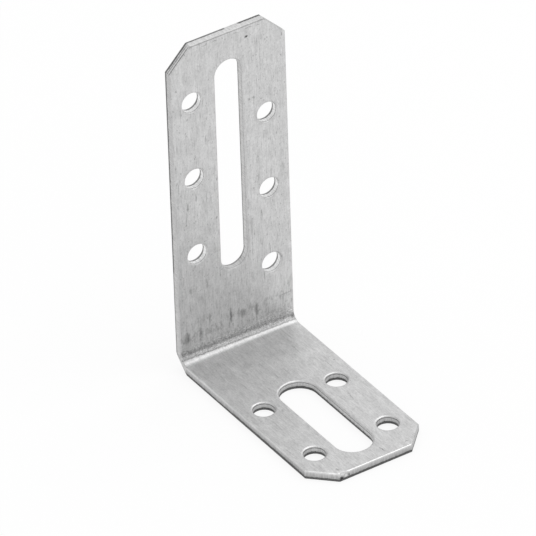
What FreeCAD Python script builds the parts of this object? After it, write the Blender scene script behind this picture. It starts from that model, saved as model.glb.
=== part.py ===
import FreeCAD, Part
import math
import os

Vector = FreeCAD.Vector
X_AXIS = Vector(1, 0, 0)

# Frame: X runs across the strip, the base leg reaches towards -Y and the upright towards +Z.
# The underside of the base leg is at Z = 0, and the part is centred on X and Y.
# Distances along a leg are measured from the heel, the corner where the two outer faces would meet.

# Strip and bend
sheet_thickness = 2.0
strip_width = 30.0
bend_inner_radius = 2.0

# Legs and their cropped corners
upright_height = 84.0
base_length = 56.5
corner_cut = 5.5

# Adjustment slots, one on the centre line of each leg, set by the wall that they leave at its free end
upright_slot_width = 7.0
upright_slot_length = 55.0
upright_slot_end_wall = 7.2
base_slot_width = 9.0
base_slot_length = 30.0
base_slot_end_wall = 4.7

# Nail holes: two columns on each leg, those of the upright staggered
nail_hole_diameter = 5.0
nail_column_spacing = 19.2
upright_nail_count = 3
upright_nail_pitch = 20.0
upright_column_stagger = 10.0
base_nail_count = 2
base_nail_pitch = 20.0

# Form of a sheared edge: rolled over at the inner face, torn to a taper at the outer face
rolled_edge_radius = 0.35
rolled_rim_width = 0.5
rolled_rim_depth = 0.3
rolled_rim_steps = 4
torn_depth = 0.6
torn_spread = 0.08

# Marks of making: the bend draws in the sides of its outer face, and the shear nicked one corner
bend_draw_in = 0.6
nick_radius = 1.6
nick_depth = 0.5
nick_from_corner = 1.0

tolerance = 1e-4
heel_y = base_length / 2
half_width = strip_width / 2
bend_outer_radius = bend_inner_radius + sheet_thickness
upright_inner_y = heel_y - sheet_thickness
upright_slot_centre = upright_height - upright_slot_end_wall - upright_slot_length / 2
base_slot_centre = base_length - base_slot_end_wall - base_slot_length / 2


def same(first, second):
    """True where two lengths agree."""
    return abs(first - second) < tolerance


def arc_point(centre, radius, degrees):
    """A point on an arc in the Y-Z plane at the strip's -X side."""
    angle = math.radians(degrees)
    return centre + Vector(0, radius * math.cos(angle), radius * math.sin(angle))


def bend_arc(centre, radius):
    """The quarter turn from the base leg up into the upright."""
    ends_and_middle = [arc_point(centre, radius, degrees) for degrees in (-90, -45, 0)]
    return Part.Arc(*ends_and_middle)


def folded_strip():
    """The sheet's L-shaped side profile with its bend, drawn out across the strip."""
    centre = Vector(-half_width, heel_y - bend_outer_radius, bend_outer_radius)
    outer = bend_arc(centre, bend_outer_radius)
    inner = bend_arc(centre, bend_inner_radius)
    base_end_low = Vector(-half_width, -heel_y, 0)
    base_end_high = Vector(-half_width, -heel_y, sheet_thickness)
    top_back = Vector(-half_width, heel_y, upright_height)
    top_front = Vector(-half_width, upright_inner_y, upright_height)
    outline = [
        Part.LineSegment(base_end_low, outer.StartPoint),
        outer,
        Part.LineSegment(outer.EndPoint, top_back),
        Part.LineSegment(top_back, top_front),
        Part.LineSegment(top_front, inner.EndPoint),
        inner,
        Part.LineSegment(inner.StartPoint, base_end_high),
        Part.LineSegment(base_end_high, base_end_low),
    ]
    wire = Part.Wire([curve.toShape() for curve in outline])
    return Part.Face(wire).extrude(X_AXIS * strip_width)


def free_corner_edges(solid):
    """The edges through the sheet at the four corners of the two free ends."""
    chosen = []
    for edge in solid.Edges:
        box = edge.BoundBox
        at_top = same(box.ZMin, upright_height) and same(box.YLength, sheet_thickness)
        at_front = same(box.YMax, -heel_y) and same(box.ZLength, sheet_thickness)
        if box.XLength < tolerance and (at_top or at_front):
            chosen.append(edge)
    return chosen


def cut_profile():
    """The wall that a punch leaves, as pairs of its spread past the hole's size and its height.

    From the outer face up: the torn taper, the straight wall, then a quarter ellipse rolled into the
    inner face. The last pair lifts the punch clear of the sheet.
    """
    wall_top = sheet_thickness - rolled_rim_depth
    profile = [(torn_spread, 0), (0, torn_depth), (0, wall_top)]
    for step in range(1, rolled_rim_steps + 1):
        turn = math.radians(90 * step / rolled_rim_steps)
        spread = rolled_rim_width * (1 - math.cos(turn))
        profile.append((spread, wall_top + rolled_rim_depth * math.sin(turn)))
    profile.append((rolled_rim_width, 2 * sheet_thickness))
    return profile


def slot_outline(width, length, height):
    """A round-ended slot along Y about the origin, at the given height."""
    radius = width / 2
    straight = (length - width) / 2
    corner = [Vector(x * radius, y * straight, height) for x, y in ((-1, -1), (-1, 1), (1, 1), (1, -1))]
    far_end = Part.Arc(corner[1], Vector(0, straight + radius, height), corner[2])
    near_end = Part.Arc(corner[3], Vector(0, -straight - radius, height), corner[0])
    left = Part.LineSegment(corner[0], corner[1])
    right = Part.LineSegment(corner[2], corner[3])
    return Part.Wire([curve.toShape() for curve in (left, far_end, right, near_end)])


def nail_outline(diameter, height):
    """A round hole about the origin, at the given height."""
    circle = Part.Circle(Vector(0, 0, height), Vector(0, 0, 1), diameter / 2)
    return Part.Wire([circle.toShape()])


def slot_punch(width, length):
    """What a slot takes out of the sheet, with its outer face at Z = 0."""
    sections = [
        slot_outline(width + 2 * spread, length + 2 * spread, height)
        for spread, height in cut_profile()
    ]
    return Part.makeLoft(sections, True, True)


def nail_punch():
    """What a nail hole takes out of the sheet, with its outer face at Z = 0."""
    sections = [nail_outline(nail_hole_diameter + 2 * spread, height) for spread, height in cut_profile()]
    return Part.makeLoft(sections, True, True)


def in_base(punch, across, along):
    """A punch moved to its place in the base leg."""
    moved = punch.copy()
    moved.translate(Vector(across, heel_y - along, 0))
    return moved


def in_upright(punch, across, along):
    """A punch turned and moved to its place in the upright."""
    moved = punch.copy()
    moved.rotate(Vector(), X_AXIS, 90)
    moved.translate(Vector(across, heel_y, along))
    return moved


def column(count, pitch, centre):
    """Even places along a leg, about a centre."""
    first = centre - pitch * (count - 1) / 2
    return [first + pitch * index for index in range(count)]


def openings():
    """Every slot and nail hole, as solids to take out of the strip."""
    nail = nail_punch()
    upright_slot = slot_punch(upright_slot_width, upright_slot_length)
    base_slot = slot_punch(base_slot_width, base_slot_length)
    removed = [
        in_upright(upright_slot, 0, upright_slot_centre),
        in_base(base_slot, 0, base_slot_centre),
    ]
    for side, drop in ((-1, 0), (1, upright_column_stagger)):
        across = side * nail_column_spacing / 2
        for along in column(upright_nail_count, upright_nail_pitch, upright_slot_centre - drop):
            removed.append(in_upright(nail, across, along))
        for along in column(base_nail_count, base_nail_pitch, base_slot_centre):
            removed.append(in_base(nail, across, along))
    return removed


def outline_edges(solid, upright_y, base_z, bend_radius):
    """The strip's outline on one side of the sheet, without the lines where the bend begins and ends."""
    chosen = []
    for edge in solid.Edges:
        box = edge.BoundBox
        in_upright_face = same(box.YMin, upright_y) and same(box.YMax, upright_y)
        in_base_face = same(box.ZMin, base_z) and same(box.ZMax, base_z)
        round_bend = hasattr(edge.Curve, "Radius") and same(edge.Curve.Radius, bend_radius)
        round_bend = round_bend and box.XLength < tolerance
        across_strip = box.XLength > strip_width - tolerance
        if (in_upright_face or in_base_face or round_bend) and not across_strip:
            chosen.append(edge)
    return chosen


def draw_in_wedge():
    """What the stretched outer face of the bend loses at the +X side, running out where the bend ends."""
    outward = Vector(0, 1, -1).normalize()
    along = Vector(0, 1, 1).normalize()
    centre = Vector(0, heel_y - bend_outer_radius, bend_outer_radius)
    run_out = bend_outer_radius * math.cos(math.radians(45))
    on_side = centre + outward * run_out + X_AXIS * half_width
    on_face = centre + outward * bend_outer_radius + X_AXIS * (half_width - bend_draw_in)
    slope = on_face - on_side
    clear_of_sheet = centre + (outward + X_AXIS) * (bend_outer_radius + half_width)
    corners = [on_side - slope, on_face + slope, clear_of_sheet]
    start = along * -bend_outer_radius
    wire = Part.makePolygon([corner + start for corner in corners], True)
    return Part.Face(wire).extrude(along * 2 * bend_outer_radius)


def corner_nick():
    """A shallow round dent in the rim of the base leg's end, beside the -X corner cut."""
    reach = nick_radius - nick_depth
    outward = Vector(0, -1, 1).normalize()
    on_rim = Vector(corner_cut - half_width + nick_from_corner, -heel_y, sheet_thickness)
    return Part.makeSphere(nick_radius, on_rim + outward * reach)


def angle_plate():
    """The whole bracket: folded, cropped, with its sheared outline, then punched."""
    folded = folded_strip()
    cropped = folded.makeChamfer(corner_cut, free_corner_edges(folded))
    torn_edges = outline_edges(cropped, heel_y, 0, bend_outer_radius)
    torn = cropped.makeChamfer(torn_spread, torn_depth, torn_edges)
    rolled_edges = outline_edges(torn, upright_inner_y, sheet_thickness, bend_inner_radius)
    rolled = torn.makeFillet(rolled_edge_radius, rolled_edges)
    wedge = draw_in_wedge()
    marks = [wedge, wedge.mirror(Vector(), X_AXIS), corner_nick()]
    return rolled.cut(marks + openings())


os.makedirs("parts", exist_ok=True)
angle_plate().exportStep("parts/angle_plate.step")
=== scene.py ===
import logging
import math
from collections.abc import Callable
from dataclasses import astuple, dataclass, field
from enum import Enum

import bmesh
import bpy
import numpy as np
from mathutils import Matrix


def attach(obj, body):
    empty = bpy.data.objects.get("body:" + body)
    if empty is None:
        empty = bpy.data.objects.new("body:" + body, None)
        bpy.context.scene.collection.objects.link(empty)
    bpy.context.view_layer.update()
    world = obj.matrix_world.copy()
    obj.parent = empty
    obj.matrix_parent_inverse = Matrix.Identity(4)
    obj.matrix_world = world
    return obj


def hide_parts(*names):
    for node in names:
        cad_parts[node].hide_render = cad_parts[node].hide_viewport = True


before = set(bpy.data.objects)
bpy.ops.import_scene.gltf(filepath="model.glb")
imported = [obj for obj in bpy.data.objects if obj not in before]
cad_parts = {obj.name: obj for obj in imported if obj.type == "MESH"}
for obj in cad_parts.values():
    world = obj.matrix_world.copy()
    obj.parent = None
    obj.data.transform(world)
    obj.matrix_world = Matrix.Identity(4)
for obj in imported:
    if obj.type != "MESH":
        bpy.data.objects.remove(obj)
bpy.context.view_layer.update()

MM = 0.001
QUARTER_TURN = math.pi / 2
ROOT_HALF = math.sqrt(0.5)
GRID_TOLERANCE = 1e-6
PLACE_TOLERANCE = 1e-4
STATION_DECIMALS = 6
PLACE_DECIMALS = 5
LOOK_PARTS = 6
WHITE = (1.0, 1.0, 1.0, 1.0)
CAD_NODE = "angle_plate"

Socket = bpy.types.NodeSocket
Value = Socket | float
Array = np.ndarray
Span = tuple[float, float]
Triple = tuple[float, float, float]

log = logging.getLogger("angle_bracket")


class Leg(Enum):
    """The two legs of the folded strip."""

    BASE = "base"
    UPRIGHT = "upright"


@dataclass(frozen=True)
class FoldedStrip:
    """The strip's sizes in mm, and the map from the flat strip to the folded one.

    A place on the strip is (across, along, depth): across from its centre line, along its developed
    length from the free end of the base leg, and depth from the outer face up to the inner face.
    """

    thickness: float = 2.0
    width: float = 30.0
    bend_inner_radius: float = 2.0
    upright_height: float = 84.0
    base_length: float = 56.5
    corner_cut: float = 5.5
    bend_draw_in: float = 0.6

    @property
    def bend_outer_radius(self) -> float:
        """The radius of the bend at the outer face."""
        return self.bend_inner_radius + self.thickness

    @property
    def bend_start(self) -> float:
        """Where along the strip the base leg's flat ends."""
        return self.base_length - self.bend_outer_radius

    @property
    def bend_end(self) -> float:
        """Where along the strip the upright's flat begins."""
        return self.bend_start + QUARTER_TURN * (self.bend_inner_radius + self.thickness / 2)

    @property
    def far_end(self) -> float:
        """The strip's whole developed length."""
        return self.bend_end + self.upright_height - self.bend_outer_radius

    def along_of(self, leg: Leg, from_heel: float) -> float:
        """The developed place of a distance from the corner where the outer faces would meet."""
        upright = self.bend_end + from_heel - self.bend_outer_radius
        return upright if leg is Leg.UPRIGHT else self.base_length - from_heel

    def turn_at(self, along: Array) -> Array:
        """The bend's angle along the strip, from nought up to a quarter turn on the upright."""
        share = (along - self.bend_start) / (self.bend_end - self.bend_start)
        return np.clip(share, 0.0, 1.0) * QUARTER_TURN

    def fold(self, places: Array) -> Array:
        """Folds flat places into the bracket.

        In the bend a point lies on an arc about the bend's centre, with the outer radius less its
        depth. Before and after the bend it goes straight on.

        Args:
            places: Rows of across, along and depth.

        Returns:
            Rows of x, y and z in mm.
        """
        across, along, depth = places[..., 0], places[..., 1], places[..., 2]
        turn = self.turn_at(along)
        radius = self.bend_outer_radius - depth
        before = np.minimum(along - self.bend_start, 0.0)
        after = np.maximum(along - self.bend_end, 0.0)
        centre_y = self.base_length / 2 - self.bend_outer_radius
        y = centre_y + radius * np.sin(turn) + before
        z = self.bend_outer_radius - radius * np.cos(turn) + after
        return np.stack([across, y, z], axis=-1)

    def drawn_in(self, along: Array, depth: float) -> Array:
        """How far the stretched outer side of the bend is narrower than the strip, on each side.

        The loss grows in a straight line from nothing at the chord of the outer arc to its full
        value at the middle of the outer face.

        Args:
            along: Distances along the strip.
            depth: The depth of the ring of points.

        Returns:
            The loss of half width, in mm.
        """
        middle = QUARTER_TURN / 2
        chord = self.bend_outer_radius * math.cos(middle)
        reach = (self.bend_outer_radius - depth) * np.cos(self.turn_at(along) - middle)
        share = (reach - chord) / (self.bend_outer_radius - chord)
        return self.bend_draw_in * np.clip(share, 0.0, 1.0)


@dataclass(frozen=True)
class EdgeLook:
    """How a sheared edge looks, in the order that the mesh's attributes keep it in.

    The first three say how dark its torn part, its lip line and its score line are, and the last
    two how bright its burnished part and its rolled part are against the metal. Those two hold
    painted highlight and painted shade: the rolled part's brightness is all painted light, the
    burnished part's partly the bare steel's own tone and partly painted light.
    """

    torn: float = 1.0
    lip: float = 0.0
    score: float = 0.0
    burnish: float = 1.0
    roll: float = 1.0


@dataclass(frozen=True)
class OutlineStretch:
    """The look of the strip's outline from one place to another on it."""

    across: Span
    along: Span
    look: EdgeLook

    def holds(self, border: Array) -> Array:
        """Which rows of across and along lie in the stretch."""
        low, high = np.array([self.across, self.along]).T
        return ((border > low - PLACE_TOLERANCE) & (border < high + PLACE_TOLERANCE)).all(axis=1)


@dataclass(frozen=True)
class EdgeForm:
    """The section of a sheared edge: rolled over at the inner face, then burnished, then torn."""

    roll_width: float
    roll_depth: float
    look: EdgeLook
    torn_depth: float = 0.6
    torn_spread: float = 0.08
    support: float = 0.03
    roll_steps: int = 6
    wall_steps: int = 4
    torn_steps: int = 5

    def rings(self, thickness: float) -> Array:
        """The section as rings from the inner face to the outer face.

        The roll is a quarter of an ellipse, the burnished wall is straight, and the torn part leans
        back with the square of the way down. A narrow flat ring lies at each end, so that the
        faces' shading isn't pulled by the edge.

        Args:
            thickness: The sheet's thickness.

        Returns:
            Rows of spread into the sheet, depth, and share of sheared look from 0 to 1.
        """
        turn = np.linspace(0.0, QUARTER_TURN, self.roll_steps + 1)
        roll_spread = self.roll_width * (1 - np.sin(turn))
        roll_level = thickness - self.roll_depth * (1 - np.cos(turn))
        roll = np.stack([roll_spread, roll_level, (turn / QUARTER_TURN) ** 2], axis=-1)
        wall_top = thickness - self.roll_depth
        wall_level = np.linspace(wall_top, self.torn_depth, self.wall_steps + 1)[1:]
        wall = np.stack([0 * wall_level, wall_level, 0 * wall_level + 1], axis=-1)
        down = np.linspace(0.0, 1.0, self.torn_steps + 1)[1:]
        torn_level = self.torn_depth * (1 - down)
        torn = np.stack([self.torn_spread * down**2, torn_level, 0 * down + 1], axis=-1)
        first = np.array([[self.roll_width + self.support, thickness, 0.0]])
        last = np.array([[self.torn_spread + self.support, 0.0, 0.0]])
        return np.concatenate([first, roll, wall, torn, last])


@dataclass(frozen=True)
class Opening:
    """A round hole or a round-ended slot, by its middle and its half sizes in mm."""

    across: float
    along: float
    half_width: float
    half_straight: float
    block_margin: float

    @property
    def block(self) -> Span:
        """The stations between which the faces' grid is rounded to the opening."""
        reach = self.half_straight + self.half_width + self.block_margin
        return self.along - reach, self.along + reach

    def rim(self, border: Array, spread: float) -> Array:
        """The points on the opening's rim nearest to the points of a border round it.

        Each point goes from the nearest point of the opening's centre line, towards the border
        point, by the half width and the spread.

        Args:
            border: Rows of across and along.
            spread: How far outside the opening's own outline the rim lies.

        Returns:
            Rows of across and along.
        """
        low, high = self.along - self.half_straight, self.along + self.half_straight
        core_along = np.clip(border[:, 1], low, high)
        core = np.stack([np.full(len(border), self.across), core_along], axis=-1)
        outward = border - core
        outward /= np.linalg.norm(outward, axis=1, keepdims=True)
        return core + outward * (self.half_width + spread)


@dataclass
class Patches:
    """Grids of places that together close the strip's surface, gathered before they are joined."""

    places: list[Array] = field(default_factory=list)
    looks: list[Array] = field(default_factory=list)
    quads: list[Array] = field(default_factory=list)
    count: int = 0

    def add_face(self, grid: Array, closed: bool, keep: Array | None = None) -> None:
        """Adds a grid on a flat face, which has no sheared look."""
        self.add(grid, np.zeros(grid.shape[:2] + (LOOK_PARTS,)), closed, keep)

    def add_wall(self, grid: Array, rings: Array, look: Array) -> None:
        """Adds an edge's wall.

        Args:
            grid: Its places by ring and by point.
            rings: The section's rings, with their sheared shares.
            look: The edge's look at each point round it.
        """
        sheared = np.repeat(rings[:, 2, None, None], grid.shape[1], axis=1)
        looks = np.repeat(look[None], grid.shape[0], axis=0)
        self.add(grid, np.concatenate([sheared, looks], axis=-1), closed=True)

    def add(self, grid: Array, looks: Array, closed: bool, keep: Array | None = None) -> None:
        """Adds one grid of places with the quads between its neighbours.

        Args:
            grid: Places by row, by column, as across, along and depth.
            looks: The sheared share and the edge's look at each place of the grid.
            closed: Whether the last column joins the first.
            keep: Which quads are kept, by row and column, or None for all.
        """
        rows, columns = grid.shape[:2]
        index = np.arange(rows * columns).reshape(rows, columns) + self.count
        if closed:
            index = np.concatenate([index, index[:, :1]], axis=1)
        corners = [index[:-1, :-1], index[:-1, 1:], index[1:, 1:], index[1:, :-1]]
        quads = np.stack(corners, axis=-1)
        if keep is not None:
            quads = quads[keep]
        self.places.append(grid.reshape(-1, 3))
        self.looks.append(looks.reshape(-1, LOOK_PARTS))
        self.quads.append(quads.reshape(-1, 4))
        self.count += rows * columns

    def joined(self) -> tuple[Array, Array, Array]:
        """Joins the grids where their places agree.

        Returns:
            The places, their looks, and the quads.
        """
        places, looks = np.concatenate(self.places), np.concatenate(self.looks)
        rounded = np.round(places, PLACE_DECIMALS)
        _, first, inverse = np.unique(rounded, axis=0, return_index=True, return_inverse=True)
        quads = inverse.reshape(-1)[np.concatenate(self.quads)]
        used, compact = np.unique(quads, return_inverse=True)
        return places[first[used]], looks[first[used]], compact.reshape(-1, 4)


def stations(keys: list[float], pitch: float) -> Array:
    """Stations that hold every key and step evenly between keys by no more than a pitch.

    Args:
        keys: Places that must be stations.
        pitch: The longest step.

    Returns:
        The stations in order.
    """
    ordered = np.unique(np.round(keys, STATION_DECIMALS))
    spans = [
        np.linspace(low, high, max(1, math.ceil((high - low) / pitch)), endpoint=False)
        for low, high in zip(ordered[:-1], ordered[1:])
    ]
    return np.concatenate(spans + [ordered[-1:]])


def wander(count: int, waves: int, seed: int) -> Array:
    """An even-handed wavy line round a closed ring, from -1 to 1.

    It is a sum of sines with whole numbers of waves and seeded phases, each weaker with the root of
    its number, so that its end meets its start.

    Args:
        count: The number of points on the ring.
        waves: The largest number of waves round the ring.
        seed: What the phases are drawn from.

    Returns:
        One value for each point.
    """
    draw = np.random.default_rng(seed)
    number = np.arange(1, waves + 1)
    phase = draw.uniform(0.0, 2 * math.pi, waves)
    place = np.arange(count)[:, None] / count
    line = (np.sin(2 * math.pi * number * place + phase) / np.sqrt(number)).sum(axis=1)
    return line / np.abs(line).max()


def block_border(rows: tuple[int, int], columns: tuple[int, int]) -> tuple[Array, Array]:
    """The grid indices round a block of rows and columns, once round.

    Args:
        rows: Its first and last row.
        columns: Its first and last column.

    Returns:
        The row indices and the column indices of the border's points.
    """
    low, high = rows
    left, right = columns
    across, up = np.arange(left, right), np.arange(low, high)
    wide, tall = len(across), len(up)
    row = np.concatenate([np.full(wide, low), up, np.full(wide, high), up[::-1] + 1])
    column = np.concatenate([across, np.full(tall, right), across[::-1] + 1, np.full(tall, left)])
    return row, column


def linked(name: str, data: bpy.types.ID) -> bpy.types.Object:
    """Puts an object of some data in the scene.

    Args:
        name: The object's name.
        data: Its mesh, light or camera.

    Returns:
        The object.
    """
    item = bpy.data.objects.new(name, data)
    bpy.context.scene.collection.objects.link(item)
    return item


def placement(columns: list[Array]) -> Matrix:
    """The matrix whose columns are an object's three axes and its place."""
    return Matrix(np.vstack([np.stack(columns, axis=1), [0.0, 0.0, 0.0, 1.0]]).tolist())


@dataclass
class BracketStrip:
    """The bracket's one piece: the folded strip with its cropped corners, slots and nail holes."""

    strip: FoldedStrip = FoldedStrip()
    # The burnish and roll numbers of each edge hold painted highlight and painted shade, beside the
    # bare steel's own tone
    outline_edge: EdgeForm = EdgeForm(0.35, 0.35, EdgeLook(torn=0.9, burnish=0.78))
    base_edge: EdgeForm = EdgeForm(0.5, 0.3, EdgeLook(torn=1.05, lip=1.0, burnish=0.8))
    nail_edge: EdgeForm = EdgeForm(0.5, 0.3, EdgeLook(torn=0.75, lip=0.7, burnish=1.3, roll=0.95))
    slot_edge: EdgeForm = EdgeForm(0.5, 0.3, EdgeLook(torn=0.6, lip=0.35, burnish=0.92))
    nail_hole_diameter: float = 5.0
    nail_column_spacing: float = 19.2
    nail_pitch: float = 20.0
    upright_slot_size: Span = (7.0, 55.0)
    base_slot_size: Span = (9.0, 30.0)
    upright_opening_centre: float = 49.3
    base_opening_centre: float = 36.8
    upright_column_stagger: float = 10.0
    slot_margin: float = 1.2
    nail_margin: float = 1.4
    column_border: float = 5.5
    outer_border: float = 13.7
    pitch_across: float = 0.55
    pitch_along: float = 0.7
    bend_steps: int = 18
    block_rings: int = 4
    tear_height: float = 0.15
    tear_reach: float = 1.2
    points_per_wave: int = 5
    nick_radius: float = 1.6
    nick_depth: float = 0.5
    nick_from_corner: float = 1.0
    sharp_degrees: float = 34.0
    darker_front: float = 34.0
    paler_foot: float = 22.0
    untorn_gap: Span = (0.4, 3.8)
    right_of_gap: float = 3.9

    def openings(self) -> list[Opening]:
        """Every slot and nail hole, in developed places.

        Returns:
            The slots first, then the nail holes column by column.
        """
        upright_middle, base_middle = self.upright_opening_centre, self.base_opening_centre
        upright_slot = (Leg.UPRIGHT, upright_middle, self.upright_slot_size)
        base_slot = (Leg.BASE, base_middle, self.base_slot_size)
        openings = []
        for leg, middle, (width, length) in (upright_slot, base_slot):
            along, straight = self.strip.along_of(leg, middle), (length - width) / 2
            openings.append(Opening(0.0, along, width / 2, straight, self.slot_margin))
        for side, drop in ((-1, 0.0), (1, self.upright_column_stagger)):
            across = side * self.nail_column_spacing / 2
            places = [(Leg.UPRIGHT, upright_middle - drop, step) for step in (-1, 0, 1)]
            places += [(Leg.BASE, base_middle, step) for step in (-0.5, 0.5)]
            for leg, middle, step in places:
                along = self.strip.along_of(leg, middle + step * self.nail_pitch)
                radius = self.nail_hole_diameter / 2
                openings.append(Opening(across, along, radius, 0.0, self.nail_margin))
        return openings

    def stations_along(self, openings: list[Opening]) -> Array:
        """The stations of the faces' grid along the strip.

        Args:
            openings: The openings whose blocks need stations.

        Returns:
            The stations in mm.
        """
        strip = self.strip
        bend = np.linspace(strip.bend_start, strip.bend_end, self.bend_steps + 1).tolist()
        near_end = [0.0, self.outline_edge.roll_width * 2, strip.corner_cut]
        ends = near_end + [strip.far_end - place for place in near_end]
        blocks = [border for opening in openings for border in opening.block]
        return stations(bend + ends + blocks, self.pitch_along)

    def stations_across(self) -> Array:
        """The stations of the faces' grid across the strip, as shares of the half width."""
        keys = [0.0, self.column_border, self.outer_border, self.strip.width / 2]
        return stations(keys + [-key for key in keys], self.pitch_across) / keys[-1]

    def outline_grid(self, along: Array, share: Array, spread: float, depth: float) -> Array:
        """The strip's whole face as a grid, drawn in from its outline by a spread.

        A row's half width is the strip's, less what the corner cut takes near an end. The outline
        moves inwards by the spread, square to each of its lines, and its corners stay on their
        bisectors.

        Args:
            along: The stations along the strip.
            share: The stations across, from -1 to 1.
            spread: How far inside the outline the grid ends.
            depth: The depth of the grid.

        Returns:
            Places by row and column.
        """
        strip = self.strip
        from_end = np.minimum(along, strip.far_end - along)
        half_width = strip.width / 2 - np.maximum(strip.corner_cut - from_end, 0.0)
        corner_share = math.sqrt(2) - 1
        at_end = from_end < GRID_TOLERANCE
        at_shoulder = np.abs(from_end - strip.corner_cut) < GRID_TOLERANCE
        on_cut = (from_end < strip.corner_cut) & ~at_end & ~at_shoulder
        narrower = np.select([at_end, on_cut], [corner_share, ROOT_HALF], 1.0) * spread
        shares = [1.0, ROOT_HALF, corner_share]
        inwards = np.select([at_end, on_cut, at_shoulder], shares, 0.0) * spread
        half_width = half_width - narrower - strip.drawn_in(along, depth)
        moved = along + np.where(along < strip.far_end / 2, inwards, -inwards)
        across = half_width[:, None] * share[None, :]
        return np.stack([across, moved[:, None] + 0 * across, depth + 0 * across], axis=-1)

    def patches(self) -> Patches:
        """The faces with their openings, the openings' walls and the outline's wall.

        Returns:
            The grids, ready to be joined.
        """
        openings = self.openings()
        along, share = self.stations_along(openings), self.stations_across()
        thickness = self.strip.thickness
        nominal = self.outline_grid(along, share, 0.0, thickness)[..., :2]
        outline = self.outline_edge.rings(thickness)
        inner = self.outline_grid(along, share, outline[0, 0], thickness)
        outer = self.outline_grid(along, share, outline[-1, 0], 0.0)
        keep = np.ones((len(along) - 1, len(share) - 1), bool)
        patches = Patches()
        for seed, opening in enumerate(openings):
            rows = np.searchsorted(along, np.array(opening.block) - PLACE_TOLERANCE)
            columns = self.block_columns(opening, share)
            keep[rows[0] : rows[1], columns[0] : columns[1]] = False
            loop = block_border(rows, columns)
            border = nominal[loop]
            edge = self.edge_of(opening)
            rings = edge.rings(thickness)
            wall = self.wall_rings(lambda spread, _: opening.rim(border, spread), rings, seed)
            patches.add_wall(wall, rings, np.array([astuple(edge.look)] * len(border)))
            for face, ring in ((inner, wall[0]), (outer, wall[-1])):
                way = np.linspace(0.0, 1.0, self.block_rings + 1)[:, None, None]
                rounded = ring[None] * (1 - way) + face[loop][None] * way
                patches.add_face(rounded, closed=True)
        for face in (inner, outer):
            patches.add_face(face, closed=False, keep=keep)
        loop = block_border((0, len(along) - 1), (0, len(share) - 1))
        wall = self.wall_rings(
            lambda spread, depth: self.outline_grid(along, share, spread, depth)[loop][:, :2],
            outline,
            len(openings),
        )
        patches.add_wall(wall, outline, self.outline_looks(nominal[loop]))
        return patches

    def outline_looks(self, border: Array) -> Array:
        """The look of the outline's edge at each point: the plain one, then each stretch's own.

        Args:
            border: Rows of across and along.

        Returns:
            The look's numbers by point.
        """
        looks = np.array([astuple(self.outline_edge.look)] * len(border))
        for stretch in self.outline_stretches():
            looks[stretch.holds(border)] = astuple(stretch.look)
        return looks

    def outline_stretches(self) -> list[OutlineStretch]:
        """The stretches of the outline that look different from the rest of it.

        Returns:
            The stretches, a later one over an earlier one.
        """
        strip = self.strip
        left, cut, far = -strip.width / 2, strip.corner_cut, strip.far_end
        bend_start, bend_end = strip.bend_start, strip.bend_end
        corner = left + cut
        left_side, left_cut, right_cut = (left, left), (left, corner), (-corner, -left)
        end_line, right_part = (corner, -corner), (self.right_of_gap, -corner)
        near, near_cut, top, far_cut = (0.0, 0.0), (0.0, cut), (far, far), (far - cut, far)
        foot = (bend_end, bend_end + self.paler_foot)
        # The burnish and roll numbers of the stretches are painted highlight and painted shade as
        # well as the steel's tone
        rows = (
            (left_side, (cut, bend_start), EdgeLook(torn=1.0, burnish=0.68, roll=1.14)),
            (left_side, (cut, self.darker_front), EdgeLook(torn=1.25, burnish=0.64, roll=1.12)),
            (left_side, (bend_end, far - cut), EdgeLook(torn=0.85, burnish=0.85, roll=0.9)),
            (left_side, foot, EdgeLook(torn=0.6, burnish=0.85, roll=0.84)),
            (end_line, near, EdgeLook(torn=1.05, burnish=0.7, roll=1.12)),
            (left_cut, near_cut, EdgeLook(torn=0.95, burnish=0.72, roll=1.25)),
            (right_cut, near_cut, EdgeLook(torn=1.0, burnish=0.75, roll=0.85)),
            (left_cut, far_cut, EdgeLook(torn=0.85, lip=1.3, score=1.0, roll=1.05)),
            (end_line, top, EdgeLook(torn=0.8, burnish=1.05, roll=0.7)),
            (self.untorn_gap, top, EdgeLook(torn=-0.3, burnish=1.04, roll=0.74)),
            (right_part, top, EdgeLook(torn=0.9, burnish=1.0, roll=0.7)),
        )
        return [OutlineStretch(*row) for row in rows]

    def edge_of(self, opening: Opening) -> EdgeForm:
        """The form of an opening's edge, by its leg and kind."""
        upright_edge = self.slot_edge if opening.half_straight else self.nail_edge
        return self.base_edge if opening.along < self.strip.bend_start else upright_edge

    def block_columns(self, opening: Opening, share: Array) -> tuple[int, int]:
        """The columns of the grid that an opening's block lies between.

        Args:
            opening: The opening.
            share: The stations across, as shares of the half width.

        Returns:
            The first and the last column.
        """
        inner, outer = self.column_border, self.outer_border
        borders = {-1: (-outer, -inner), 0: (-inner, inner), 1: (inner, outer)}
        shares = np.array(borders[int(np.sign(opening.across))]) / (self.strip.width / 2)
        first, last = np.searchsorted(share, shares - GRID_TOLERANCE)
        return int(first), int(last)

    def wall_rings(
        self, ring_at: Callable[[float, float], Array], edge: Array, seed: int
    ) -> Array:
        """An edge's section carried round its outline, with the torn part a little uneven.

        Args:
            ring_at: Gives the ring of across and along for a spread and a depth.
            edge: The section's rings.
            seed: What the unevenness is drawn from.

        Returns:
            Places by ring and by point.
        """
        thickness = self.strip.thickness
        count = len(ring_at(0.0, 0.0))
        tear = wander(count, count // self.points_per_wave, seed)
        rings = []
        for spread, depth, sheared in edge:
            level = np.full(count, depth)
            if 0.0 < depth < thickness and sheared == 1:
                share = max(0.0, 1 - depth / self.tear_reach)
                level = level + self.tear_height * share * tear * (depth / thickness)
            rings.append(np.concatenate([ring_at(spread, depth), level[:, None]], axis=1))
        return np.stack(rings)

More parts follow.
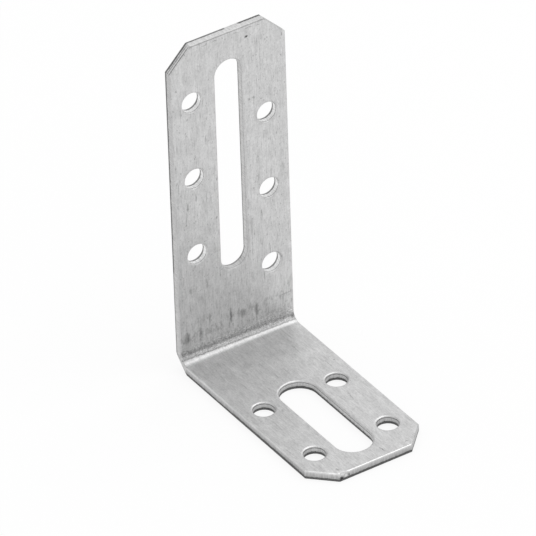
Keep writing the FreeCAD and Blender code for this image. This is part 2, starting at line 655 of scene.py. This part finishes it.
    def nicked(self, points: Array) -> Array:
        """Points inside the nick's sphere, moved out to its surface.

        Args:
            points: Rows of x, y and z in mm.

        Returns:
            The rows, moved where the nick is.
        """
        strip = self.strip
        reach = (self.nick_radius - self.nick_depth) * ROOT_HALF
        x = strip.corner_cut - strip.width / 2 + self.nick_from_corner
        centre = np.array([x, -strip.base_length / 2 - reach, strip.thickness + reach])
        away = points - centre
        distance = np.linalg.norm(away, axis=1, keepdims=True)
        on_sphere = centre + away / distance * self.nick_radius
        return np.where(distance < self.nick_radius, on_sphere, points)

    def build(self) -> bpy.types.Object:
        """Builds the strip as one closed mesh with its places and looks kept as attributes.

        Returns:
            The strip's object.
        """
        places, looks, quads = self.patches().joined()
        points = self.nicked(self.strip.fold(places)) * MM
        mesh = bpy.data.meshes.new("folded_strip")
        mesh.from_pydata(points.tolist(), [], quads.tolist())
        mesh.validate()
        # edge_tone carries the score line and the brightness of the burnished and rolled parts,
        # which hold painted highlight and painted shade
        tables = {"strip_place": places, "edge_look": looks[:, :3], "edge_tone": looks[:, 3:]}
        for name, table in tables.items():
            attribute = mesh.attributes.new(name, "FLOAT_VECTOR", "POINT")
            attribute.data.foreach_set("vector", table.astype(np.float32).ravel())
        work = bmesh.new()
        work.from_mesh(mesh)
        bmesh.ops.recalc_face_normals(work, faces=work.faces)
        work.to_mesh(mesh)
        work.free()
        mesh.shade_smooth()
        mesh.set_sharp_from_angle(angle=math.radians(self.sharp_degrees))
        return linked("folded_strip", mesh)


@dataclass(frozen=True)
class Noise:
    """A cloudy pattern about one half: its form, and how its places are stretched first."""

    scale: float
    detail: float
    roughness: float
    stretch: Triple = (1.0, 1.0, 1.0)


@dataclass(frozen=True)
class Step:
    """A smooth step: where it starts and ends, and its value before and after."""

    low: float
    high: float
    before: Value = 0.0
    after: Value = 1.0


@dataclass(frozen=True)
class Flecks:
    """Darker flecks on the rolled faces: their pattern, and their brightness on each leg."""

    noise: Noise
    on_base: float
    on_upright: float


@dataclass(frozen=True)
class Mark:
    """A dark mark or a patch of painted shade: its place on the strip, half sizes in mm, darkness,
    turn and depth in the sheet.

    A mark below nought in darkness is lighter than the metal round it, such as a painted highlight.
    """

    across: float
    along: float
    half_across: float
    half_along: float
    darkness: float
    turn: float = 0.0
    depth: float = 2.0


# Each row holds the numbers of a Mark: a single dark mark, or a patch of painted shade or painted
# light
MARKS_AND_PAINTED_LIGHT = (
    (4.87, 134.27, 0.46, 0.42, 0.9), (9.62, 131.74, 0.2, 0.3, 0.3),
    (13.96, 131.45, 0.18, 0.6, 0.45), (-1.33, 136.12, 0.2, 0.35, 0.3),
    (5.13, 117.73, 0.3, 0.35, 0.35), (6.26, 117.86, 0.25, 0.4, 0.3),
    (8.26, 116.86, 0.3, 0.3, 0.3), (-11.19, 114.48, 0.16, 0.5, 0.35),
    (-6.43, 112.0, 0.22, 1.1, 0.3), (-11.8, 73.44, 0.4, 1.2, 0.3),
    (-1.66, 62.94, 0.36, 2.3, 0.5), (5.13, 61.6, 0.6, 1.8, 0.45),
    (1.6, 62.2, 0.9, 1.3, 0.42), (-7.09, 64.3, 0.3, 1.6, 0.32),
    (-13.2, 61.2, 1.0, 1.7, 0.4), (-9.65, 61.5, 0.45, 1.7, 0.38),
    (12.2, 62.6, 0.3, 2.0, 0.25), (3.2, 2.35, 0.16, 1.3, 0.5, 0.12),
    (8.73, 22.95, 0.14, 2.2, 0.3, -0.1), (11.5, 35.8, 0.14, 2.0, 0.3),
    (13.41, 36.3, 0.3, 0.25, 0.4), (9.23, 1.83, 0.35, 0.3, 0.35),
    (-6.53, 26.83, 0.3, 0.5, 0.25), (-8.9, 1.8, 0.3, 0.6, 0.3),
    (14.3, 55.6, 0.35, 0.7, 0.4), (14.4, 57.6, 0.7, 0.8, -0.15),
    # The two rows on the next line are painted shade, darker over the bend's right end and the
    # upright's lower right
    (12.8, 56.3, 3.5, 0.8, 0.1), (12.5, 60.5, 3.5, 3.0, 0.06),
    (-9.5, 97.5, 0.25, 1.1, 0.35), (-11.7, 95.8, 0.25, 1.1, 0.4),
    (-14.2, 96.8, 0.2, 0.6, 0.3), (-9.4, 108.1, 0.2, 0.7, 0.3),
    (4.6, 84.5, 0.5, 3.4, 0.18), (5.55, 94.1, 0.25, 0.25, 0.35),
    (-4.4, 90.2, 0.25, 0.5, 0.35), (-7.5, 73.75, 0.3, 1.6, 0.3),
    (-14.5, 122.2, 0.25, 0.4, 0.3), (-14.4, 107.0, 0.3, 0.6, 0.25),
    (-14.3, 103.0, 0.25, 0.6, 0.3), (-13.6, 127.0, 0.3, 0.4, 0.3),
    # The next two rows and the first row of the line after lie at the nick on the front end: the
    # darker ones are painted shade about its notch, the lighter one a painted highlight on its lump
    (-9.1, 0.0, 0.65, 0.6, 0.85, 0.0, 0.9), (-7.95, 0.0, 0.5, 0.5, -0.6, 0.0, 1.15),
    (-7.15, 0.0, 0.16, 0.4, 0.7, 0.0, 1.0), (13.0, 62.85, 1.6, 0.13, 0.45),
    (-6.0, 136.15, 0.9, 0.12, 0.3), (-3.4, 136.3, 0.8, 0.1, 0.35),
    (2.2, 136.2, 0.9, 0.1, 0.35), (5.6, 136.35, 1.1, 0.1, 0.4),
    # After this line's first row, the last three rows are broad painted shade and painted light:
    # darker over the upright's lower half and the base's right side by the bend, lighter over the
    # base's front
    (8.2, 136.2, 0.5, 0.14, 0.4), (0.0, 74.0, 24.0, 16.0, 0.028),
    (11.0, 47.5, 8.0, 6.0, 0.05), (-5.0, 3.0, 10.0, 4.0, -0.025),
)


@dataclass(frozen=True)
class GalvanisedSteel:
    """The looks of zinc-coated rolled sheet, with bare steel where it was sheared, and with painted
    shade and painted highlight in the bend, on the edges and in some patches.
    """

    zinc: Triple = (0.69, 0.69, 0.69)
    marks_and_painted_light: tuple[Mark, ...] = tuple(Mark(*row) for row in MARKS_AND_PAINTED_LIGHT)

    # The rolled faces: patterns with how far each one moves the brightness, and flecks
    streaks: Noise = Noise(1.0, 4.0, 0.7, (2.6, 0.36, 1.0))
    grain: Noise = Noise(1.1, 4.0, 0.75, (3.0, 1.9, 3.0))
    fine_amount: float = 0.62
    broad_streaks: Noise = Noise(1.0, 3.0, 0.6, (0.8, 0.05, 1.0))
    broad_amount: float = 0.22
    mottle: Noise = Noise(1.0, 5.0, 0.6, (0.5, 0.3, 1.0))
    mottle_amount: float = 0.42
    specks: Flecks = Flecks(Noise(1.5, 2.0, 0.5, (1.6, 0.8, 1.0)), 0.88, 0.66)
    scratches: Flecks = Flecks(Noise(1.6, 2.0, 0.5, (2.2, 0.12, 1.0)), 0.84, 0.7)
    fleck_edge: Span = (0.61, 0.74)

    # Beside the bend: a ramp of painted shade over a span, and a smeared zone of dirt above it
    ramp: tuple[Span, ...] = (
        (0.0, 1.0), (0.08, 0.95), (0.19, 0.94), (0.225, 0.5), (0.255, 0.86),
        (0.31, 0.93), (0.36, 0.66), (0.395, 0.65), (0.47, 0.9), (0.75, 0.97),
    )
    ramp_before: float = 5.0
    ramp_span: float = 12.0
    ramp_lean: float = 0.035
    wobble: Noise = Noise(1.0, 4.0, 0.65, (0.9, 0.2, 1.0))
    wobble_amount: float = 1.3
    smear: Noise = Noise(1.0, 5.0, 0.72, (1.1, 0.5, 1.0))
    smear_edge: Step = Step(0.48, 0.68)
    smear_zone: tuple[Step, Step] = (Step(-0.5, 1.0), Step(3.0, 11.0, 1.0, 0.0))
    smear_darkness: float = 0.42
    crumbs: Noise = Noise(1.6, 3.0, 0.6, (1.8, 1.8, 1.0))
    crumb_zone: tuple[Step, Step] = (Step(-2.6, -2.0), Step(0.5, 2.5, 1.0, 0.0))
    crumb_amount: float = 1.7
    inner_side: Step = Step(1.0, 1.9)

    # The sheared edges
    torn_brightness: float = 0.22
    torn_grain: Noise = Noise(4.0, 4.0, 0.7)
    tear_line: Noise = Noise(1.0, 3.0, 0.6, (1.1, 1.1, 0.1))
    tear_uneven: float = 0.5
    tear_by_look: float = 0.6
    tear_level: float = -0.16
    tear_edge: Step = Step(-0.07, 0.07, 1.0, 0.0)
    wall_scores: Noise = Noise(1.0, 3.0, 0.65, (4.0, 4.0, 0.5))
    # Painted shade on the base leg's walls: darker towards the floor, paler near the top
    wall_floor_shade: Step = Step(0.7, 1.75, 0.9, 1.16)
    lip_depth: float = 1.62
    score_depth: float = 0.95
    line_wave: Noise = Noise(1.2, 3.0, 0.6)
    line_wave_amount: float = 0.25
    line_edge: Step = Step(0.03, 0.15, 0.62, 0.0)
    roll_zone: tuple[Step, Step] = (Step(0.0, 0.02), Step(0.6, 1.0, 1.0, 0.0))

    # The places of each mark and painted patch are shaken, which makes their outlines ragged
    shake: Noise = Noise(1.4, 3.0, 0.5)
    shake_reach: float = 0.8
    mark_depth: float = 0.5
    mark_edge: Span = (0.3, 1.2)

    # Roughness and relief
    roughness: float = 0.42
    bend_roughness: float = 0.46
    bend_middle: float = 1.0
    bend_reach: Span = (1.0, 4.0)
    streak_roughness: float = 0.25
    wall_roughness: float = 0.52
    torn_roughness: float = 0.7
    face_relief: float = 0.6
    score_relief: Noise = Noise(1.0, 3.0, 0.6, (5.0, 5.0, 0.5))
    tear_relief: Noise = Noise(5.0, 4.0, 0.7)
    tear_height: float = 3.0
    bump_strength: float = 0.4
    bump_height: float = 0.03


class NodeGraph:
    """Adds and joins the nodes of one tree."""

    def __init__(self, owner: bpy.types.Material | bpy.types.World) -> None:
        """Starts with the nodes of a material or a world cleared.

        Args:
            owner: The material or the world.
        """
        owner.use_nodes = True
        self.tree = owner.node_tree
        self.tree.nodes.clear()

    def add(self, kind: str, inputs: dict | None = None, **settings: object) -> bpy.types.Node:
        """Adds a node.

        Args:
            kind: The node's type name.
            inputs: What its inputs are set or joined to, by name or number.
            settings: Its own properties.

        Returns:
            The node.
        """
        node = self.tree.nodes.new(kind)
        for name, value in settings.items():
            setattr(node, name, value)
        for name, value in (inputs or {}).items():
            if isinstance(value, Socket):
                self.tree.links.new(value, node.inputs[name])
            else:
                node.inputs[name].default_value = value
        return node

    def maths(self, operation: str, *values: Value) -> Socket:
        """One step of arithmetic on numbers or sockets."""
        return self.add("ShaderNodeMath", dict(enumerate(values)), operation=operation).outputs[0]

    def times(self, first: Value, *others: Value) -> Socket:
        """The product of two or more values."""
        for other in others:
            first = self.maths("MULTIPLY", first, other)
        return first

    def vector(self, operation: str, inputs: dict, output: int = 0) -> Socket:
        """One step of arithmetic on vectors."""
        return self.add("ShaderNodeVectorMath", inputs, operation=operation).outputs[output]

    def mixed(self, first: Value, second: Value, share: Value) -> Socket:
        """One number that goes from the first to the second as the share goes from 0 to 1."""
        inputs = {0: share, 2: first, 3: second}
        return self.add("ShaderNodeMix", inputs, data_type="FLOAT").outputs[0]

    def varied(self, value: Value, pattern: Socket, amount: Value) -> Socket:
        """A value moved up and down by a pattern that lies about one half."""
        return self.maths("MULTIPLY_ADD", self.maths("SUBTRACT", pattern, 0.5), amount, value)

    def between(self, value: Socket, step: Step) -> Socket:
        """A smooth step as the value grows."""
        inputs = dict(enumerate((value, step.low, step.high, step.before, step.after)))
        return self.add("ShaderNodeMapRange", inputs, interpolation_type="SMOOTHSTEP").outputs[0]

    def within(self, value: Socket, zone: tuple[Step, Step]) -> Socket:
        """One inside a zone, which has a step up and a step down, and nought outside it."""
        return self.times(self.between(value, zone[0]), self.between(value, zone[1]))


class SteelGraph(NodeGraph):
    """The steel's nodes.

    Streaks run along the strip, a mottle and dark specks lie over them, and each mark sits at its
    own place, some of them patches of painted shade and painted light. Painted shade in bands and a
    dark line, and smudges of dirt, lie across the bend. On a sheared edge the upper part is
    burnished with fine scores through the sheet, and the lower part is torn dark and rough along an
    uneven line. The rolled rims and the burnished walls carry painted highlight and painted shade,
    edge by edge.
    """

    def __init__(
        self, owner: bpy.types.Material, steel: GalvanisedSteel, strip: FoldedStrip
    ) -> None:
        """Starts with the sockets that every part of the finish reads.

        Args:
            owner: The material.
            steel: The steel's looks.
            strip: The strip that the material is for.
        """
        super().__init__(owner)
        self.steel, self.strip = steel, strip
        self.place = self.attribute("strip_place")
        self.across, self.along, self.depth = self.parts(self.place)
        self.sheared, self.torn_look, self.lip_look = self.parts(self.attribute("edge_look"))
        # The edge's tones: its score line, and the painted highlight and painted shade on its
        # burnished wall and rolled rim
        self.score_look, self.wall_tone, self.roll_painted_light = self.parts(self.attribute("edge_tone"))
        self.upright = self.between(self.along, Step(strip.bend_start, strip.bend_end))
        self.streak, self.grain = self.noise(steel.streaks), self.noise(steel.grain)
        self.torn = self.torn_share()
        self.torn_shown = self.times(self.torn, self.torn_look)

    def attribute(self, name: str) -> Socket:
        """A vector that the mesh carries."""
        return self.add("ShaderNodeAttribute", attribute_name=name).outputs["Vector"]

    def parts(self, vector: Socket) -> list[Socket]:
        """The three parts of a vector."""
        return list(self.add("ShaderNodeSeparateXYZ", {0: vector}).outputs)

    def noise(self, noise: Noise, output: int = 0) -> Socket:
        """A cloudy pattern on the strip's places.

        Args:
            noise: The pattern's form.
            output: 0 for one number, or 1 for three in a colour.

        Returns:
            The pattern's socket.
        """
        place = self.vector("MULTIPLY", {0: self.place, 1: noise.stretch})
        form = {"Scale": noise.scale, "Detail": noise.detail, "Roughness": noise.roughness}
        return self.add("ShaderNodeTexNoise", {"Vector": place, **form}).outputs[output]

    def build(self) -> None:
        """Joins the brightness, the roughness and the relief into the surface."""
        surface = {
            "Base Color": self.vector("SCALE", {0: self.steel.zinc, "Scale": self.brightness()}),
            "Metallic": 1.0,
            "Roughness": self.roughness(),
            "Normal": self.relief(),
        }
        shader = self.add("ShaderNodeBsdfPrincipled", surface)
        self.add("ShaderNodeOutputMaterial", {"Surface": shader.outputs[0]})

    def brightness(self) -> Socket:
        """The whole brightness: the faces with the bend's painted shade and dirt, the edges' walls
        and rolled parts with their painted highlight and shade, and each mark and painted patch.

        Returns:
            A factor on the zinc's colour.
        """
        steel = self.steel
        face = self.times(self.face_brightness(), self.bend_shade_and_dirt())
        torn_grey = self.times(self.noise(steel.torn_grain), steel.torn_brightness * 2)
        wall = self.mixed(self.burnish_brightness(), torn_grey, self.torn_shown)
        # The rolled rims get painted highlight on some edges and painted shade on others
        rolled = self.within(self.sheared, steel.roll_zone)
        tone = self.mixed(1.0, self.roll_painted_light, rolled)
        bright = self.times(self.mixed(face, wall, self.sheared), tone)
        reach = (steel.shake_reach, steel.shake_reach, 0.0)
        shift = self.vector("MULTIPLY", {0: self.noise(steel.shake, 1), 1: reach})
        moved = self.vector("ADD", {0: self.place, 1: shift})
        return self.times(bright, *(self.marked(moved, mark) for mark in steel.marks_and_painted_light))

    def face_brightness(self) -> Socket:
        """The rolled face's brightness: streaks, grain, mottle, specks and scratches.

        Returns:
            A brightness about one.
        """
        steel = self.steel
        patterns = (
            (self.streak, steel.fine_amount),
            (self.grain, steel.fine_amount),
            (self.noise(steel.broad_streaks), steel.broad_amount),
            (self.noise(steel.mottle), steel.mottle_amount),
        )
        bright: Value = 1.0
        for pattern, amount in patterns:
            bright = self.varied(bright, pattern, amount)
        for flecks in (steel.specks, steel.scratches):
            level = self.mixed(flecks.on_base, flecks.on_upright, self.upright)
            edge = Step(*steel.fleck_edge, 1.0, level)
            bright = self.times(bright, self.between(self.noise(flecks.noise), edge))
        return bright

    def bend_shade_and_dirt(self) -> Socket:
        """Painted shade across the inner bend, as darker bands and a dark line from a ramp, and the
        smudged zone of dirt where the press gripped the upright.

        Returns:
            A factor on the brightness.
        """
        steel = self.steel
        rise = self.maths("SUBTRACT", self.along, self.strip.bend_end)
        wavy = self.varied(rise, self.noise(steel.wobble), steel.wobble_amount)
        lean = self.maths("MULTIPLY_ADD", self.across, steel.ramp_lean, wavy)
        from_start = self.maths("ADD", lean, steel.ramp_before)
        share = self.maths("DIVIDE", from_start, steel.ramp_span)
        # The ramp is painted shade: darker bands across the inner bend and a dark line above its
        # highlight
        ramp = self.add("ShaderNodeValToRGB", {0: share})
        elements = ramp.color_ramp.elements
        while len(elements) < len(steel.ramp):
            elements.new(1.0)
        for element, (position, level) in zip(elements, steel.ramp):
            element.position = position
            element.color = (level, level, level, 1.0)
        smear = self.between(self.noise(steel.smear), steel.smear_edge)
        spots = self.times(self.within(rise, steel.smear_zone), smear, steel.smear_darkness)
        inner = self.between(self.depth, steel.inner_side)
        crumbling = self.times(self.within(rise, steel.crumb_zone), steel.crumb_amount)
        crumbled = self.varied(ramp.outputs[0], self.noise(steel.crumbs), crumbling)
        clear = self.maths("SUBTRACT", 1.0, self.times(spots, inner))
        return self.times(self.mixed(1.0, crumbled, inner), clear)

    def torn_share(self) -> Socket:
        """Where the sheet tore: one below an uneven line that is higher on a darker edge.

        Returns:
            The share, from nought to one.
        """
        steel = self.steel
        level = self.maths("MULTIPLY_ADD", self.torn_look, steel.tear_by_look, steel.tear_level)
        line = self.maths("MULTIPLY_ADD", self.noise(steel.tear_line), steel.tear_uneven, level)
        return self.between(self.maths("SUBTRACT", self.depth, line), steel.tear_edge)

    def burnish_brightness(self) -> Socket:
        """The burnished wall's brightness.

        It is scored through the sheet, and on the base leg painted shade makes it darker towards
        the floor and paler near the top. A dark lip line lies near its top, and on some stretches a
        dark score line at mid depth.

        Returns:
            A brightness with the edge's own tone, which holds painted highlight and painted shade.
        """
        steel = self.steel
        # Painted shade on the base leg's walls: darker towards the floor, paler near the top
        floor_shade = self.mixed(self.between(self.depth, steel.wall_floor_shade), 1.0, self.upright)
        burnish = self.varied(floor_shade, self.noise(steel.wall_scores), 1.0)
        wave = self.noise(steel.line_wave)
        lines = ((steel.lip_depth, self.lip_look), (steel.score_depth, self.score_look))
        for middle, look in lines:
            off_line = self.maths("SUBTRACT", self.depth, middle)
            level = self.varied(off_line, wave, steel.line_wave_amount)
            line = self.between(self.maths("ABSOLUTE", level), steel.line_edge)
            burnish = self.times(burnish, self.maths("SUBTRACT", 1.0, self.times(line, look)))
        return self.times(burnish, self.wall_tone)

    def marked(self, place: Socket, mark: Mark) -> Socket:
        """A factor on the brightness that is lower inside a mark.

        Args:
            place: The shaken place, which lies half the shake's reach further on than the strip's.
            mark: The mark.

        Returns:
            The factor.
        """
        shift = self.steel.shake_reach / 2
        inputs = {
            "Vector": place,
            "Location": (mark.across + shift, mark.along + shift, mark.depth),
            "Rotation": (0.0, 0.0, mark.turn),
            "Scale": (mark.half_across, mark.half_along, self.steel.mark_depth),
        }
        local = self.add("ShaderNodeMapping", inputs, vector_type="TEXTURE").outputs[0]
        away = self.vector("LENGTH", {0: local}, 1)
        return self.between(away, Step(*self.steel.mark_edge, 1.0 - mark.darkness, 1.0))

    def roughness(self) -> Socket:
        """The roughness: streaked on the faces, a little higher in the bend, highest where torn.

        Returns:
            The roughness.
        """
        steel = self.steel
        middle = self.strip.bend_start + steel.bend_middle
        off_bend = self.maths("ABSOLUTE", self.maths("SUBTRACT", self.along, middle))
        bend = Step(*steel.bend_reach, steel.bend_roughness, steel.roughness)
        face = self.varied(self.between(off_bend, bend), self.streak, steel.streak_roughness)
        wall = self.mixed(steel.wall_roughness, steel.torn_roughness, self.torn_shown)
        return self.mixed(face, wall, self.sheared)

    def relief(self) -> Socket:
        """The fine relief: streaks and grain on the faces, scores and tears on the walls.

        Returns:
            The bent normal.
        """
        steel = self.steel
        grain = self.times(self.grain, steel.face_relief)
        face = self.maths("MULTIPLY_ADD", self.streak, steel.face_relief, grain)
        tears = self.times(self.noise(steel.tear_relief), steel.tear_height)
        wall = self.mixed(self.noise(steel.score_relief), tears, self.torn)
        height = self.mixed(face, wall, self.sheared)
        size = {"Strength": steel.bump_strength, "Distance": steel.bump_height * MM}
        return self.add("ShaderNodeBump", {"Height": height, **size}).outputs[0]


@dataclass
class Studio:
    """The pale floor, the even surround, the soft lamp and the camera."""

    floor_size: float = 12.0
    floor_gap: float = 0.05
    floor_colour: tuple[float, ...] = (0.97, 0.97, 0.97, 1.0)
    surround_colour: tuple[float, ...] = (0.8, 0.8, 0.8, 1.0)
    white_share: float = 0.86
    lamp_azimuth: float = 85.0
    lamp_elevation: float = 62.0
    lamp_distance: float = 1.6
    lamp_size: float = 1.35
    lamp_power: float = 7.2
    camera_place: Triple = (-0.84929, -1.32427, 1.14252)
    camera_right: Triple = (0.833248, -0.55221, -0.027602)
    camera_down: Triple = (-0.336557, -0.466969, -0.817722)
    camera_ahead: Triple = (0.438664, 0.690655, -0.574952)
    camera_clip: Span = (0.05, 50.0)
    focal_pixels: float = 8857.4
    image_pixels: float = 536.0
    sensor: float = 36.0

    def floor(self) -> None:
        """The floor, which looks white but keeps the bracket's shadow.

        Rays from the camera, mirrors and glass see it mostly white, and other rays see it as it is.
        """
        half, level = self.floor_size / 2, -self.floor_gap * MM
        corners = [(x * half, y * half, level) for x, y in ((-1, -1), (1, -1), (1, 1), (-1, 1))]
        mesh = bpy.data.meshes.new("studio_floor")
        mesh.from_pydata(corners, [], [(0, 1, 2, 3)])
        material = bpy.data.materials.new("pale_floor")
        graph = NodeGraph(material)
        lit = graph.add("ShaderNodeBsdfDiffuse", {"Color": self.floor_colour}).outputs[0]
        white = graph.add("ShaderNodeEmission", {"Color": WHITE, "Strength": 1.0}).outputs[0]
        path = graph.add("ShaderNodeLightPath").outputs
        seen = graph.maths("MAXIMUM", path["Is Camera Ray"], path["Is Glossy Ray"])
        seen = graph.maths("MAXIMUM", seen, path["Is Transmission Ray"])
        share = graph.times(seen, self.white_share)
        surface = graph.add("ShaderNodeMixShader", {0: share, 1: lit, 2: white}).outputs[0]
        graph.add("ShaderNodeOutputMaterial", {"Surface": surface})
        mesh.materials.append(material)
        linked("studio_floor", mesh)

    def world(self) -> None:
        """The surround, which lights the bracket evenly from all sides."""
        world = bpy.data.worlds.new("studio_surround")
        graph = NodeGraph(world)
        inputs = {"Color": self.surround_colour, "Strength": 1.0}
        background = graph.add("ShaderNodeBackground", inputs)
        graph.add("ShaderNodeOutputWorld", {"Surface": background.outputs[0]})
        bpy.context.scene.world = world

    def lamp(self) -> None:
        """Hangs a soft square lamp above the bracket and facing it."""
        turn, rise = math.radians(self.lamp_azimuth), math.radians(self.lamp_elevation)
        level = math.cos(rise)
        outward = np.array([math.sin(turn) * level, -math.cos(turn) * level, math.sin(rise)])
        light = bpy.data.lights.new("overhead_softbox", "AREA")
        light.shape, light.size, light.energy = "SQUARE", self.lamp_size, self.lamp_power
        side = np.cross([0.0, 0.0, 1.0], outward)
        side /= np.linalg.norm(side)
        columns = [side, np.cross(outward, side), outward, outward * self.lamp_distance]
        linked("overhead_softbox", light).matrix_world = placement(columns)

    def camera(self) -> None:
        """Sets the camera where the photograph was taken from."""
        camera = bpy.data.cameras.new("photo_camera")
        camera.sensor_width = self.sensor
        camera.lens = self.focal_pixels / self.image_pixels * self.sensor
        camera.clip_start, camera.clip_end = self.camera_clip
        up, back = -np.array(self.camera_down), -np.array(self.camera_ahead)
        item = linked("photo_camera", camera)
        item.matrix_world = placement([self.camera_right, up, back, self.camera_place])
        bpy.context.scene.camera = item

    def build(self) -> None:
        """Sets up the whole studio."""
        bpy.context.scene.view_settings.view_transform = "Standard"
        self.floor()
        self.world()
        self.lamp()
        self.camera()
        log.info("studio: floor, surround, lamp and camera")


def main() -> None:
    """Builds the bracket's strip, dresses it, and sets up the studio."""
    logging.basicConfig(level=logging.INFO, format="%(name)s: %(message)s")
    bracket = BracketStrip()
    piece = bracket.build()
    steel = bpy.data.materials.new("galvanised_steel_sheet")
    SteelGraph(steel, GalvanisedSteel(), bracket.strip).build()
    piece.data.materials.append(steel)
    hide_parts(CAD_NODE)
    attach(piece, "root")
    log.info("%s: %d faces", piece.name, len(piece.data.polygons))
    Studio().build()


if __name__ == "__main__":
    main()
